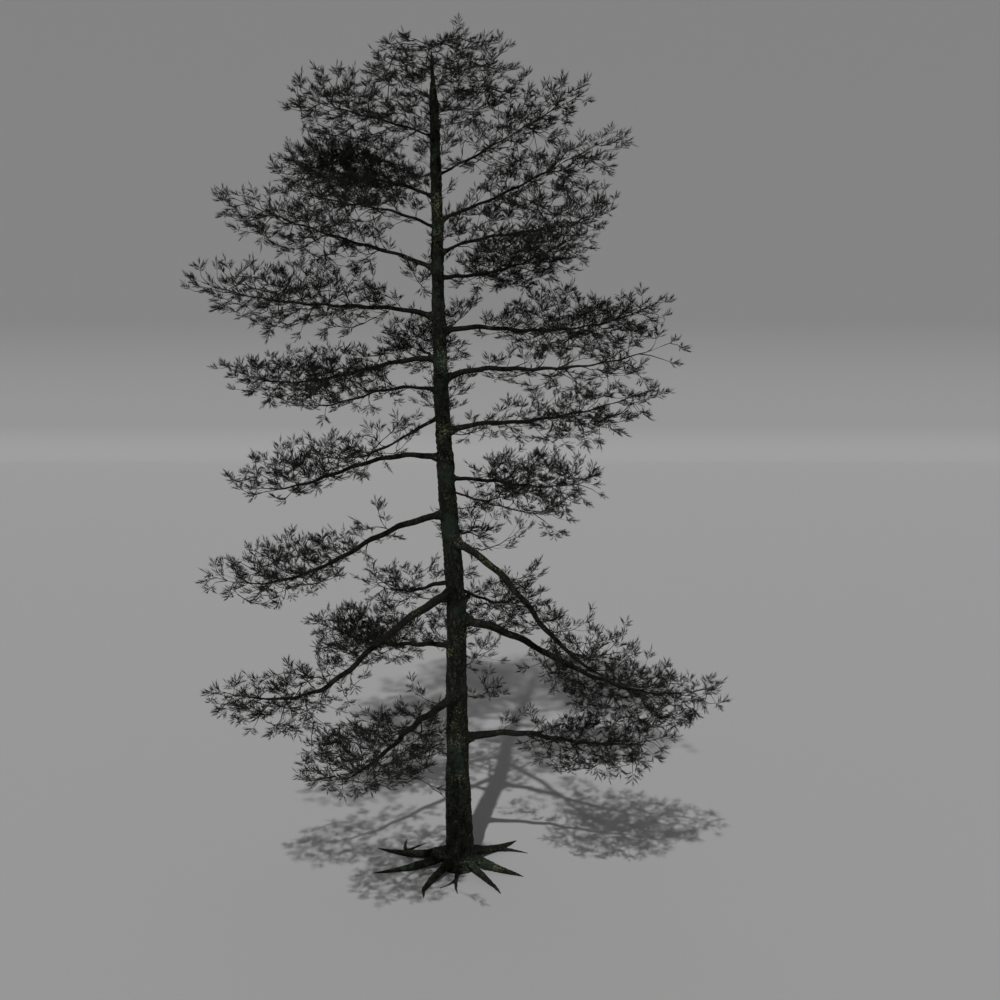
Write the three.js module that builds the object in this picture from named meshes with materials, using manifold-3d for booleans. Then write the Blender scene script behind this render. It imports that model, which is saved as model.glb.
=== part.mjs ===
// Pine tree: one whole, open-grown pine standing on level ground. A straight stem with a slight
// lean rises from claw-like surface roots to a spike at the tip. Long boughs leave it on all
// sides, and each carries one flat, uneven mass of needles on its outer part.
// Millimetres, +Z up. The origin is the centre of the flat cut under the trunk, at ground level.
// Bearings are degrees in plan, from +X towards +Y.

import * as THREE from "three";
import { mergeVertices } from "three/addons/utils/BufferGeometryUtils.js";
import Module from "manifold-3d";

const wasm = await Module();
wasm.setup();

// ---- Driving dimensions ----

const GAP = 3; // clear gap between two neighbouring solids
const TRUNK_SIDES = 12;
const ROOT_SIDES = 6;
const ROOT_STEPS = 5;
const BOUGH_SIDES = 6;
const BOUGH_STEPS = 4;
const MASS_SIDES = 10;
const MASS_STEPS = 7;

// The trunk at each height: how far its centre leans towards +X, and its radius.
const TRUNK = [
  { height: -120, lean: 0, radius: 300 },
  { height: 60, lean: 0, radius: 262 },
  { height: 220, lean: 0, radius: 228 },
  { height: 480, lean: -5, radius: 207 },
  { height: 1100, lean: -20, radius: 188 },
  { height: 2300, lean: -30, radius: 160 },
  { height: 4100, lean: -30, radius: 142 },
  { height: 5600, lean: -140, radius: 130 },
  { height: 7000, lean: -215, radius: 108 },
  { height: 8400, lean: -250, radius: 95 },
  { height: 9800, lean: -255, radius: 80 },
  { height: 10950, lean: -280, radius: 68 },
  { height: 11250, lean: -290, radius: 44 },
  { height: 11780, lean: -310, radius: 6 },
];

// The surface roots, tapering claws that run out over the ground. bend swings the outer part
// sideways, and each fork leaves the root at that share of its length.
const ROOT_START = 330; // height on the trunk's axis from which a root comes down
const ROOT_TAPER = 0.75; // below 1 a root keeps its thickness for longer
const ROOT_TIP_RADIUS = 3;
const ROOT_FORK_THICKNESS = 0.72; // a fork's thickness as a share of its root's
const ROOTS = [
  {
    bearing: 155, reach: 1450, radius: 105, bend: 130,
    forks: [{ at: 0.5, bearing: 130, reach: 1300 }, { at: 0.56, bearing: 120, reach: 950 }],
  },
  { bearing: 190, reach: 1350, radius: 95, bend: 50, forks: [] },
  { bearing: 245, reach: 1150, radius: 100, bend: -330, forks: [] },
  { bearing: 270, reach: 900, radius: 62, bend: -110, forks: [{ at: 0.5, bearing: 245, reach: 800 }] },
  { bearing: 305, reach: 1100, radius: 88, bend: 90, forks: [] },
  { bearing: 340, reach: 1050, radius: 105, bend: 40, forks: [] },
  { bearing: 45, reach: 1250, radius: 110, bend: -90, forks: [{ at: 0.5, bearing: 20, reach: 1150 }] },
];

// The boughs, from the ground up. Each leaves the trunk's axis at its height and bearing, and
// ends its reach out and its rise up. launch and lift are its slopes at the trunk and at its tip.
// Its mass of needles runs from the share `from` of its length to the tip, spread to each side,
// up above it and down below it.
const BOUGHS = [
  { name: "right_1", height: 2000, bearing: 343, reach: 3000, rise: 350, launch: 25, lift: 20,
    from: 0.33, spread: 900, up: 250, down: 400 },
  { name: "left_1", height: 2700, bearing: 244, reach: 3450, rise: 50, launch: 0, lift: 5,
    from: 0.26, spread: 880, up: 320, down: 420 },
  { name: "back_1", height: 3250, bearing: 92, reach: 2350, rise: 150, launch: 5, lift: 20,
    from: 0.36, spread: 430, up: 330, down: 260 },
  { name: "left_2", height: 3450, bearing: 145, reach: 2650, rise: -100, launch: -5, lift: 25,
    from: 0.18, spread: 660, up: 500, down: 280 },
  { name: "right_2", height: 3850, bearing: 345, reach: 3700, rise: -750, launch: 0, lift: 30,
    from: 0.28, spread: 900, up: 330, down: 460 },
  { name: "left_3", height: 4250, bearing: 217, reach: 3700, rise: -800, launch: -5, lift: 40,
    from: 0.4, spread: 800, up: 470, down: 300 },
  { name: "right_3", height: 4300, bearing: 55, reach: 1900, rise: -450, launch: -20, lift: 25,
    from: 0.3, spread: 480, up: 330, down: 330 },
  { name: "left_4", height: 4400, bearing: 128, reach: 2200, rise: -350, launch: -10, lift: 30,
    from: 0.3, spread: 520, up: 380, down: 240 },
  { name: "back_2", height: 5000, bearing: 80, reach: 1900, rise: -100, launch: 5, lift: 15,
    from: 0.36, spread: 420, up: 300, down: 260 },
  { name: "right_4", height: 5000, bearing: 320, reach: 3500, rise: -1400, launch: 0, lift: 30,
    from: 0.32, spread: 950, up: 1300, down: 180 },
  { name: "left_5", height: 5400, bearing: 198, reach: 3300, rise: -700, launch: 0, lift: 25,
    from: 0.34, spread: 780, up: 560, down: 240 },
  { name: "right_5", height: 5900, bearing: 18, reach: 2250, rise: -100, launch: 0, lift: 20,
    from: 0.14, spread: 700, up: 520, down: 440 },
  { name: "left_6", height: 6200, bearing: 168, reach: 3150, rise: -450, launch: 10, lift: 10,
    from: 0.26, spread: 780, up: 520, down: 260 },
  { name: "right_6", height: 6550, bearing: 345, reach: 2950, rise: 650, launch: 25, lift: 40,
    from: 0.2, spread: 800, up: 460, down: 300 },
  { name: "left_7", height: 6800, bearing: 222, reach: 2150, rise: -300, launch: -15, lift: 25,
    from: 0.4, spread: 560, up: 380, down: 240 },
  { name: "left_8", height: 7150, bearing: 205, reach: 2250, rise: 0, launch: 15, lift: 5,
    from: 0.2, spread: 640, up: 420, down: 260 },
  { name: "right_7", height: 7300, bearing: 332, reach: 3400, rise: 600, launch: 25, lift: 35,
    from: 0.22, spread: 850, up: 420, down: 280 },
  { name: "back_3", height: 7500, bearing: 104, reach: 2250, rise: 300, launch: 10, lift: 25,
    from: 0.18, spread: 640, up: 450, down: 300 },
  { name: "left_9", height: 7600, bearing: 160, reach: 3350, rise: -300, launch: 0, lift: 25,
    from: 0.2, spread: 780, up: 460, down: 280 },
  { name: "right_8", height: 7950, bearing: 22, reach: 3400, rise: 250, launch: 15, lift: 40,
    from: 0.18, spread: 850, up: 680, down: 300 },
  { name: "left_10", height: 8150, bearing: 190, reach: 3250, rise: 500, launch: 20, lift: 30,
    from: 0.14, spread: 850, up: 650, down: 360 },
  { name: "right_9", height: 8700, bearing: 50, reach: 3100, rise: 500, launch: 0, lift: 25,
    from: 0.14, spread: 820, up: 420, down: 330 },
  { name: "left_11", height: 8800, bearing: 172, reach: 2950, rise: 950, launch: 25, lift: 30,
    from: 0.2, spread: 800, up: 480, down: 420 },
  { name: "right_10", height: 9000, bearing: 348, reach: 2350, rise: 750, launch: 30, lift: 35,
    from: 0.1, spread: 760, up: 480, down: 420 },
  { name: "left_12", height: 9350, bearing: 215, reach: 2200, rise: 550, launch: 25, lift: 15,
    from: 0.16, spread: 720, up: 460, down: 380 },
  { name: "right_11", height: 9450, bearing: 15, reach: 2600, rise: 1100, launch: 25, lift: 40,
    from: 0.1, spread: 800, up: 480, down: 340 },
  { name: "left_13", height: 9750, bearing: 150, reach: 2500, rise: 500, launch: 25, lift: 20,
    from: 0.1, spread: 860, up: 520, down: 380 },
  { name: "right_12", height: 10050, bearing: 340, reach: 2000, rise: 1100, launch: 25, lift: 40,
    from: 0.12, spread: 700, up: 360, down: 360 },
  { name: "left_14", height: 10550, bearing: 195, reach: 1900, rise: 550, launch: 20, lift: 10,
    from: 0.1, spread: 800, up: 400, down: 560 },
];
const BOUGH_SLENDERNESS = 0.0236; // radius at the trunk for each unit of reach, at ground level
const BOUGH_THINNING = 0.058 / 1000; // share of the radius that is lost for each unit of height
const BOUGH_TAPER = 0.8; // share of the radius that is lost from the trunk to the tip
const BOUGH_COLLAR = 0.45; // how much wider a bough is where it meets the trunk's axis
const BOUGH_COLLAR_END = 0.1; // share of the bough's length over which the collar runs out
const BOUGH_INTO_MASS = 0.05; // share of its length that a bough runs on inside its mass
const MASS_OVERHANG = 0.05; // share of the bough's length that the needles reach past its tip
const MASS_LOBES = 0.13; // how far the broad lobes of a mass stand out, as a share of its size
const MASS_LUMPS = 0.1; // the same for the smaller lumps

// The crown's top: one mass round the trunk's spike.
const TOP = { height: 11270, lean: -170, spread: 1090, depth: 1000, up: 730, down: 640, seed: 1 };
const TOP_SIDES = 14;
const TOP_STEPS = 8;

// ---- Materials ----

const bark = new THREE.MeshStandardMaterial({ color: 0x35332b, roughness: 0.95, metalness: 0 });
const needles = new THREE.MeshStandardMaterial({ color: 0x1f2318, roughness: 0.8, metalness: 0 });

// ---- Helpers ----

const radians = THREE.MathUtils.degToRad;

// A unit vector level with the ground, at a bearing.
function heading(bearing) {
  return new THREE.Vector3(Math.cos(radians(bearing)), Math.sin(radians(bearing)), 0);
}

// Moves each vertex of a closed primitive, and returns it with its shared vertices merged.
function reshape(primitive, place) {
  primitive.deleteAttribute("normal");
  primitive.deleteAttribute("uv");
  const geometry = mergeVertices(primitive);
  const position = geometry.attributes.position;
  const vertex = new THREE.Vector3();
  for (let i = 0; i < position.count; i += 1) {
    vertex.fromBufferAttribute(position, i);
    position.setXYZ(i, ...place(vertex).toArray());
  }
  return geometry;
}

// Places a primitive that stands on Y from -1 to 1 along a curve. `at` gives the centre and the
// direction at a share t from 0 to 1, and `size` the distances to the side and upwards there.
function bendAlong(primitive, at, side, size) {
  return reshape(primitive, (vertex) => {
    const t = (vertex.y + 1) / 2;
    const { centre, direction } = at(t);
    const up = direction.clone().cross(side);
    const { across, above } = size(t, vertex);
    return centre.clone().addScaledVector(side, across).addScaledVector(up, above);
  });
}

function toSolid(geometry) {
  const vertProperties = Float32Array.from(geometry.attributes.position.array);
  const triVerts = Uint32Array.from(geometry.index.array);
  return new wasm.Manifold(new wasm.Mesh({ numProp: 3, vertProperties, triVerts }));
}

// Cuts every solid of a list out of another one, and keeps the largest piece that is left.
function cutAway(solid, cutters) {
  const rest = cutters.reduce((left, cutter) => left.subtract(cutter), solid);
  return rest.decompose().sort((a, b) => b.volume() - a.volume())[0];
}

function toMesh(solid, name, material) {
  const { vertProperties, triVerts } = solid.getMesh();
  const geometry = new THREE.BufferGeometry();
  geometry.setAttribute("position", new THREE.BufferAttribute(Float32Array.from(vertProperties), 3));
  geometry.setIndex(new THREE.BufferAttribute(Uint32Array.from(triVerts), 1));
  geometry.computeVertexNormals();
  const mesh = new THREE.Mesh(geometry, material);
  mesh.name = name;
  return mesh;
}

// ---- Trunk and surface roots ----

function trunkStem(grow) {
  const last = TRUNK.length - 1;
  const cylinder = new THREE.CylinderGeometry(1, 1, 2, TRUNK_SIDES, last);
  return toSolid(reshape(cylinder, (vertex) => {
    const { height, lean, radius } = TRUNK[Math.round(((vertex.y + 1) / 2) * last)];
    const r = radius + grow;
    return new THREE.Vector3(lean + r * vertex.z, r * vertex.x, height);
  }));
}

// The centre of the trunk at a height.
function trunkCentre(height) {
  const above = TRUNK.findIndex((section) => section.height > height);
  const [low, high] = [TRUNK[above - 1], TRUNK[above]];
  const share = (height - low.height) / (high.height - low.height);
  return new THREE.Vector3(THREE.MathUtils.lerp(low.lean, high.lean, share), 0, height);
}

// One tapering limb along a curve, up to its share `end`. It is a bent cylinder with closed ends.
function limb(curve, end, side, sides, steps, radiusAt) {
  const at = (t) => ({ centre: curve.getPoint(t * end), direction: curve.getTangent(t * end) });
  const size = (t, vertex) => {
    const radius = radiusAt(t * end);
    return { across: vertex.z * radius, above: vertex.x * radius };
  };
  return toSolid(bendAlong(new THREE.CylinderGeometry(1, 1, 2, sides, steps), at, side, size));
}

function rootSolid(root) {
  const along = heading(root.bearing);
  const side = heading(root.bearing + 90);
  const tip = along.clone().multiplyScalar(root.reach);
  const curve = new THREE.CubicBezierCurve3(
    new THREE.Vector3(0, 0, ROOT_START),
    along.clone().multiplyScalar(0.28 * root.reach).setZ(0.42 * root.radius),
    along.clone().multiplyScalar(0.7 * root.reach).addScaledVector(side, root.bend).setZ(30),
    tip,
  );
  const radiusAt = (t) => root.radius * (1 - t) ** ROOT_TAPER + ROOT_TIP_RADIUS;
  const pieces = [limb(curve, 1, side, ROOT_SIDES, ROOT_STEPS, radiusAt)];
  for (const fork of root.forks) {
    const start = curve.getPoint(fork.at);
    const end = heading(fork.bearing).multiplyScalar(fork.reach);
    const onward = curve.getTangent(fork.at).multiplyScalar(0.4 * start.distanceTo(end)).add(start);
    const forkCurve = new THREE.QuadraticBezierCurve3(start, onward, end);
    const forkSide = new THREE.Vector3(0, 0, 1).cross(end.clone().sub(start)).normalize();
    const thick = ROOT_FORK_THICKNESS * radiusAt(fork.at);
    const forkRadius = (t) => thick * (1 - t) ** ROOT_TAPER + ROOT_TIP_RADIUS;
    pieces.push(limb(forkCurve, 1, forkSide, ROOT_SIDES, ROOT_STEPS, forkRadius));
  }
  return pieces.reduce((joined, piece) => joined.add(piece));
}

// Everything below ground level, to be cut off.
function belowGround() {
  const size = 4000;
  const box = new THREE.BoxGeometry(size, size, size);
  return toSolid(reshape(box, (vertex) => vertex.clone().setZ(vertex.z - size / 2)));
}

function trunkSolid() {
  const whole = ROOTS.reduce((joined, root) => joined.add(rootSolid(root)), trunkStem(0));
  return cutAway(whole, [belowGround()]);
}

// ---- Boughs ----

function boughCurve({ height, bearing, reach, rise, launch, lift }) {
  const start = trunkCentre(height);
  const along = heading(bearing);
  const point = (out, up) => start.clone().addScaledVector(along, out).setZ(height + up);
  const third = reach / 3;
  return new THREE.CubicBezierCurve3(
    start,
    point(third, third * Math.tan(radians(launch))),
    point(2 * third, rise - third * Math.tan(radians(lift))),
    point(reach, rise),
  );
}

function boughRadius({ reach, height }, t) {
  const stout = BOUGH_SLENDERNESS * reach * (1 - BOUGH_THINNING * height);
  const collar = 1 + BOUGH_COLLAR * Math.max(1 - t / BOUGH_COLLAR_END, 0) ** 2;
  return stout * collar * (1 - BOUGH_TAPER * t);
}

function boughSolid(bough, grow) {
  const end = bough.from + BOUGH_INTO_MASS + grow / bough.reach;
  const side = heading(bough.bearing + 90);
  const radiusAt = (t) => boughRadius(bough, t) + grow;
  return limb(boughCurve(bough), end, side, BOUGH_SIDES, BOUGH_STEPS, radiusAt);
}

// ---- Masses of needles ----

// How far the surface of a mass stands out or in, as a share of its size there. The lobes and the
// lumps both wind round the mass on their way to its tip, in opposite directions.
function unevenness(t, angle, seed) {
  const lobes = MASS_LOBES * Math.sin(3 * angle + 9 * t + seed) * Math.sin(Math.PI * t);
  const lumps = MASS_LUMPS * Math.sin(5 * angle - 14 * t + 2.3 * seed);
  return 1 + lobes + lumps;
}

// A ball drawn out along the outer part of a bough, flattened, and fuller above than below.
function massSolid(bough, seed, grow) {
  const curve = boughCurve(bough);
  const tip = curve.getPoint(1);
  const outward = curve.getTangent(1);
  const margin = grow / bough.reach;
  const at = (t) => {
    const along = THREE.MathUtils.lerp(bough.from - margin, 1 + MASS_OVERHANG + margin, t);
    const beyond = Math.max(along - 1, 0) * bough.reach;
    const centre = along > 1 ? tip.clone().addScaledVector(outward, beyond) : curve.getPoint(along);
    return { centre, direction: curve.getTangent(Math.min(along, 1)) };
  };
  const size = (t, vertex) => {
    const lump = unevenness(t, Math.atan2(vertex.x, vertex.z), seed);
    const height = vertex.x > 0 ? bough.up : bough.down;
    return {
      across: vertex.z * (bough.spread * lump + grow),
      above: vertex.x * (height * lump + grow),
    };
  };
  const ball = new THREE.SphereGeometry(1, MASS_SIDES, MASS_STEPS);
  return toSolid(bendAlong(ball, at, heading(bough.bearing + 90), size));
}

function topSolid() {
  const ball = new THREE.SphereGeometry(1, TOP_SIDES, TOP_STEPS);
  return toSolid(reshape(ball, (vertex) => {
    const lump = unevenness((vertex.y + 1) / 2, Math.atan2(vertex.x, vertex.z), TOP.seed);
    const up = vertex.y > 0 ? TOP.up : TOP.down;
    return new THREE.Vector3(
      TOP.lean + TOP.spread * lump * vertex.z,
      TOP.depth * lump * vertex.x,
      TOP.height + up * vertex.y,
    );
  }));
}

// ---- The tree ----

const tree = new THREE.Group();
tree.name = "pine_tree";
tree.add(toMesh(trunkSolid(), "trunk", bark));

// Each solid is cut round everything before it, with the gap between them.
const earlier = [trunkStem(GAP)];
const addSolid = (name, make, material) => {
  tree.add(toMesh(cutAway(make(0), earlier), name, material));
  earlier.push(make(GAP));
};
for (const bough of BOUGHS) {
  addSolid(`bough_${bough.name}`, (grow) => boughSolid(bough, grow), bark);
}
BOUGHS.forEach((bough, index) => {
  addSolid(`mass_${bough.name}`, (grow) => massSolid(bough, index, grow), needles);
});
addSolid("mass_top", topSolid, needles);

export default tree;
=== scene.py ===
# %% [markdown]
# # A pine tree in its looks
#
# The frame holds the tree's design: a trunk with surface roots, 29 boughs, and the closed masses
# that its needles fill. This file dresses it. The trunk and the boughs get bark with real relief.
# Each mass is opened up into limbs, shoots and twigs that grow on from its bough, and every twig
# ends in a tuft of needles. Everything is in metres, in the frame's own place.

# %% Load the frame
import math
import random

import bpy
import numpy as np
from mathutils import Matrix, Vector
from mathutils.bvhtree import BVHTree


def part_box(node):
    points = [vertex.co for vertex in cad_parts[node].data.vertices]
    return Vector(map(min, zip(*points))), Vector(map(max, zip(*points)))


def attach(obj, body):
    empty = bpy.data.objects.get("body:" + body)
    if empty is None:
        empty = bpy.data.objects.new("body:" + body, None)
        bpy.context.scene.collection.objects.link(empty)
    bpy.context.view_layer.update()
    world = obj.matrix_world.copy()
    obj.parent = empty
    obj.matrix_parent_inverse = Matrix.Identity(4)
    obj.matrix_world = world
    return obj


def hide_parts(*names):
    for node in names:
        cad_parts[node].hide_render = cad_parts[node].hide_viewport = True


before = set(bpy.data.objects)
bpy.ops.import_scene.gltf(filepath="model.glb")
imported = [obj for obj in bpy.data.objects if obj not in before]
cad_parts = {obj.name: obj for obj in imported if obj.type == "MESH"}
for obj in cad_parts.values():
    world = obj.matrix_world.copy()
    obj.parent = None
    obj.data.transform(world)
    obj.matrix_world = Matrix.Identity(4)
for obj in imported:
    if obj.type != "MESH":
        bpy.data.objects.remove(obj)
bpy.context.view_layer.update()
bpy.ops.object.select_all(action="DESELECT")

BODY = "root"
UP = Vector((0, 0, 1))
BOUGHS = sorted(n[len("bough_"):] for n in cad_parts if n.startswith("bough_"))
print("boughs in the frame:", len(BOUGHS))

# %% [markdown]
# ## Camera, floor and light
#
# The tree is looked at from just under 20 m away and from a little below its top, with the camera
# tilted 12 degrees down. The floor runs far back and then turns up in one wide curve, so that no
# line shows behind the tree. One sun-like lamp in front on the left makes the long shadow, and a
# pale sky fills it in.

# %% Camera
CAMERA_PLACE = (0.598, -19.18, 9.673)
CAMERA_TILT = 12.0
CAMERA_LENS_MM = 50.0

camera = bpy.data.objects.new("camera", bpy.data.cameras.new("camera"))
camera.location = CAMERA_PLACE
camera.rotation_euler = (math.radians(90 - CAMERA_TILT), 0, 0)
camera.data.lens = CAMERA_LENS_MM
camera.data.clip_end = 400
bpy.context.scene.collection.objects.link(camera)
bpy.context.scene.camera = camera
bpy.context.scene.view_settings.view_transform = "Standard"
print("camera at", CAMERA_PLACE)

# %% Floor with its curved back
FLOOR_HALF = 120.0
FLOOR_BACK = 33.0  # where the floor starts to turn up
COVE_RADIUS = 5.0
COVE_STEPS = 32
BACK_HEIGHT = 80.0

bpy.ops.mesh.primitive_plane_add(size=2, location=(0, 0, 0))
floor = bpy.context.object
floor.name = "floor"
floor.scale = (FLOOR_HALF, (FLOOR_HALF + FLOOR_BACK) / 2, 1)
floor.location.y = (FLOOR_BACK - FLOOR_HALF) / 2
bpy.ops.object.transform_apply(location=True, scale=True)
bpy.ops.object.mode_set(mode="EDIT")
bpy.ops.mesh.select_all(action="DESELECT")
bpy.ops.object.mode_set(mode="OBJECT")
for edge in floor.data.edges:
    edge.select = all(floor.data.vertices[v].co.y > FLOOR_BACK - 1 for v in edge.vertices)
bpy.ops.object.mode_set(mode="EDIT")
for step in range(COVE_STEPS):
    turn = math.radians(90) * (step + 0.5) / COVE_STEPS
    stride = 2 * COVE_RADIUS * math.sin(math.radians(90) / COVE_STEPS / 2)
    move = (0, stride * math.cos(turn), stride * math.sin(turn))
    bpy.ops.mesh.extrude_region_move(TRANSFORM_OT_translate={"value": move})
bpy.ops.mesh.extrude_region_move(TRANSFORM_OT_translate={"value": (0, 0, BACK_HEIGHT)})
bpy.ops.object.mode_set(mode="OBJECT")
bpy.ops.object.shade_smooth()
print("floor turns up at", FLOOR_BACK, "m")

# %% Light
SUN_TRAVEL = Vector((0.15, 0.79, -1.0))
SUN_STRENGTH = 1.88
SUN_WIDTH = 1.0  # degrees: how soft the shadow's edge is
SKY_STRENGTH = 0.125

sun = bpy.data.objects.new("sun", bpy.data.lights.new("sun", "SUN"))
sun.rotation_mode = "QUATERNION"
sun.rotation_quaternion = SUN_TRAVEL.to_track_quat("-Z", "Y")
sun.data.energy = SUN_STRENGTH
sun.data.angle = math.radians(SUN_WIDTH)
bpy.context.scene.collection.objects.link(sun)
sky = bpy.data.worlds.new("sky")
sky.use_nodes = True
sky.node_tree.nodes["Background"].inputs["Color"].default_value = (1, 1, 1, 1)
sky.node_tree.nodes["Background"].inputs["Strength"].default_value = SKY_STRENGTH
bpy.context.scene.world = sky
print("sun and sky are in place")


# %% [markdown]
# ## Colours and materials
#
# An old pine's bark is grey-brown and dull, split into small rough plates with darker cracks
# between them. Damp sides carry blue-green moss, and lichen makes pale yellow-green specks. The
# cracks come from the mesh itself: each piece of bark keeps how far its surface was pushed out or
# in as an attribute named relief, and the colours follow it. Moss and lichen are noise patterns
# at their real sizes. Needles and twigs are so small that plain colours do, dealt out by tuft.

# %% Helpers for colours and nodes
def linear(hex_colour):
    """An sRGB hex colour as the linear numbers that a shader wants."""
    parts = [int(hex_colour[i:i + 2], 16) / 255 for i in (1, 3, 5)]
    return (*[p / 12.92 if p <= 0.04045 else ((p + 0.055) / 1.055) ** 2.4 for p in parts], 1)


def add_node(tree, kind, settings=None, **inputs):
    """Adds a node, sets its properties, and gives each input a value or a link."""
    node = tree.nodes.new(kind)
    for name, value in (settings or {}).items():
        setattr(node, name, value)
    for name, value in inputs.items():
        key = int(name[1:]) if name[1:].isdigit() else name.replace("_", " ")
        socket = node.inputs[key]
        if isinstance(value, bpy.types.NodeSocket):
            tree.links.new(value, socket)
        else:
            socket.default_value = value
    return node


def new_material(name, roughness, specular):
    """A new material with its node tree and its shader."""
    material = bpy.data.materials.new(name)
    material.use_nodes = True
    shader = material.node_tree.nodes["Principled BSDF"]
    shader.inputs["Roughness"].default_value = roughness
    shader.inputs["Specular IOR Level"].default_value = specular
    return material, material.node_tree, shader


MM = 0.001
PLATE_STRETCH = 2.0  # plates are this much taller than wide
print("helpers for colours and nodes are ready")

# %% Bark
MOSS_COLOUR = "#232d25"
LICHEN_COLOUR = "#5d6147"
MOSS_PATCH_MM, LICHEN_PATCH_MM, LICHEN_SPECK_MM, GRAIN_MM = 330, 420, 22, 9
CRACK_WIDTH = 0.16  # as a share of a plate
CELL_GREYS = (0.25, 0.9)  # the part of a plate's random value that runs from dull to pale
RELIEF_CRACKED, RELIEF_SOUND = -0.9, 0.35
MOSS_NOISE = (0.68, 0.78)  # where moss starts and is full, less the share asked for
LICHEN_NOISE = (1.28, 1.34)
BUMP_STRENGTH, BUMP_DEPTH = 0.8, 5 * MM
GRAIN_IN_BUMP = 0.6
PLATE_SWING = 0.6  # how far plate edges are bent, as a share of a plate


def bark_material(name, plate_mm, colours, moss_share, lichen_share):
    """Weathered bark: plates of different greys, darker cracks, patches of moss, specks of lichen."""
    dull, pale, crack = [linear(colour) for colour in colours]
    material, tree, shader = new_material(name, roughness=0.92, specular=0.18)
    place = add_node(tree, "ShaderNodeTexCoord").outputs["Object"]

    def noise(size_mm, detail):
        scale = 1 / (size_mm * MM)
        return add_node(tree, "ShaderNodeTexNoise", Vector=place, Scale=scale, Detail=detail)

    def between(value, low, high):
        node = add_node(tree, "ShaderNodeMapRange", Value=value, From_Min=low, From_Max=high)
        return node.outputs["Result"]

    def mix(share, low, high):
        node = add_node(tree, "ShaderNodeMix", {"data_type": "RGBA"}, _0=share, _6=low, _7=high)
        return node.outputs[2]

    swing = (PLATE_SWING * plate_mm * MM,) * 3
    bent = add_node(tree, "ShaderNodeVectorMath", {"operation": "MULTIPLY_ADD"},
                    _0=noise(1.5 * plate_mm, 2).outputs["Color"], _1=swing, _2=place).outputs[0]
    upright = add_node(tree, "ShaderNodeMapping", Vector=bent, Scale=(1, 1, 1 / PLATE_STRETCH)).outputs[0]
    cells = add_node(tree, "ShaderNodeTexVoronoi", Vector=upright, Scale=1 / (plate_mm * MM))
    edges = add_node(tree, "ShaderNodeTexVoronoi", {"feature": "DISTANCE_TO_EDGE"},
                     Vector=upright, Scale=1 / (plate_mm * MM))
    plate = between(edges.outputs["Distance"], 0.0, CRACK_WIDTH)
    relief = add_node(tree, "ShaderNodeAttribute", {"attribute_name": "relief"}).outputs["Fac"]
    patch = noise(LICHEN_PATCH_MM, 3).outputs["Fac"]
    colour = mix(between(cells.outputs["Color"], *CELL_GREYS), dull, pale)
    colour = mix(plate, crack, colour)
    colour = mix(between(relief, RELIEF_CRACKED, RELIEF_SOUND), crack, colour)
    damp = noise(MOSS_PATCH_MM, 4).outputs["Fac"]
    moss = between(damp, *[level - moss_share for level in MOSS_NOISE])
    colour = mix(moss, colour, linear(MOSS_COLOUR))
    specks = add_node(tree, "ShaderNodeMath", {"operation": "ADD"},
                      _0=noise(LICHEN_SPECK_MM, 2).outputs["Fac"], _1=patch).outputs[0]
    lichen = between(specks, *[level - lichen_share for level in LICHEN_NOISE])
    colour = mix(lichen, colour, linear(LICHEN_COLOUR))
    tree.links.new(colour, shader.inputs["Base Color"])
    grain = add_node(tree, "ShaderNodeMath", {"operation": "MULTIPLY_ADD"},
                     _0=noise(GRAIN_MM, 4).outputs["Fac"], _1=GRAIN_IN_BUMP, _2=plate).outputs[0]
    bump = add_node(tree, "ShaderNodeBump", Height=grain, Strength=BUMP_STRENGTH, Distance=BUMP_DEPTH)
    tree.links.new(bump.outputs["Normal"], shader.inputs["Normal"])
    return material


trunk_bark = bark_material(
    "plated_pine_bark",
    plate_mm=26,
    colours=("#24241d", "#47473c", "#0b0b09"),
    moss_share=0.16,
    lichen_share=0.10,
)
bough_bark = bark_material(
    "bough_bark",
    plate_mm=15,
    colours=("#26241f", "#403d35", "#100f0d"),
    moss_share=0.12,
    lichen_share=0.06,
)
print("bark materials:", trunk_bark.name, bough_bark.name)

# %% Twigs and needles
TWIG_COLOUR = "#2b2620"
NEEDLE_COLOURS = {
    "needle_dark_green": "#0f130c",
    "needle_deep_green": "#14180f",
    "needle_olive": "#1a1c15",
}
# The back's grey is painted shade: the upturned back is painted darker than the floor.
FLOOR_GREY, BACK_PAINTED_SHADE_GREY = "#bcbcbc", "#a8a8a8"


def plain_material(name, colour, roughness, specular):
    material, _, shader = new_material(name, roughness, specular)
    shader.inputs["Base Color"].default_value = linear(colour)
    return material


def floor_with_painted_shade():
    """A pale matt floor whose upturned back carries painted shade: its colour turns darker over the first
    metre up and stays so up the wall.
    """
    material, tree, shader = new_material("painted_floor", 0.9, 0.1)
    place = add_node(tree, "ShaderNodeTexCoord").outputs["Object"]
    height = add_node(tree, "ShaderNodeSeparateXYZ", Vector=place).outputs["Z"]
    # the share of painted shade: none on the floor, rising to full 1 m up the back
    back = add_node(tree, "ShaderNodeMapRange", Value=height, From_Max=1.0).outputs["Result"]
    paint = add_node(tree, "ShaderNodeMix", {"data_type": "RGBA"},
                     _0=back, _6=linear(FLOOR_GREY), _7=linear(BACK_PAINTED_SHADE_GREY))
    tree.links.new(paint.outputs[2], shader.inputs["Base Color"])
    return material


twig_bark = plain_material("twig_bark", TWIG_COLOUR, 0.85, 0.2)
needle_materials = [plain_material(n, c, 0.6, 0.25) for n, c in NEEDLE_COLOURS.items()]
floor.data.materials.append(floor_with_painted_shade())
print("needle materials:", [m.name for m in needle_materials])


# %% [markdown]
# ## Where the limbs run
#
# A bough's solid says where its limb runs: its rings of vertices lie round one smooth line. In
# plan that line is straight, so the height is fitted as a curve of the distance from the trunk.
# Past the bough's end the same limb runs on inside its mass of needles to the mass's far tip,
# and lifts a little there, as pine boughs do.

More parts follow.
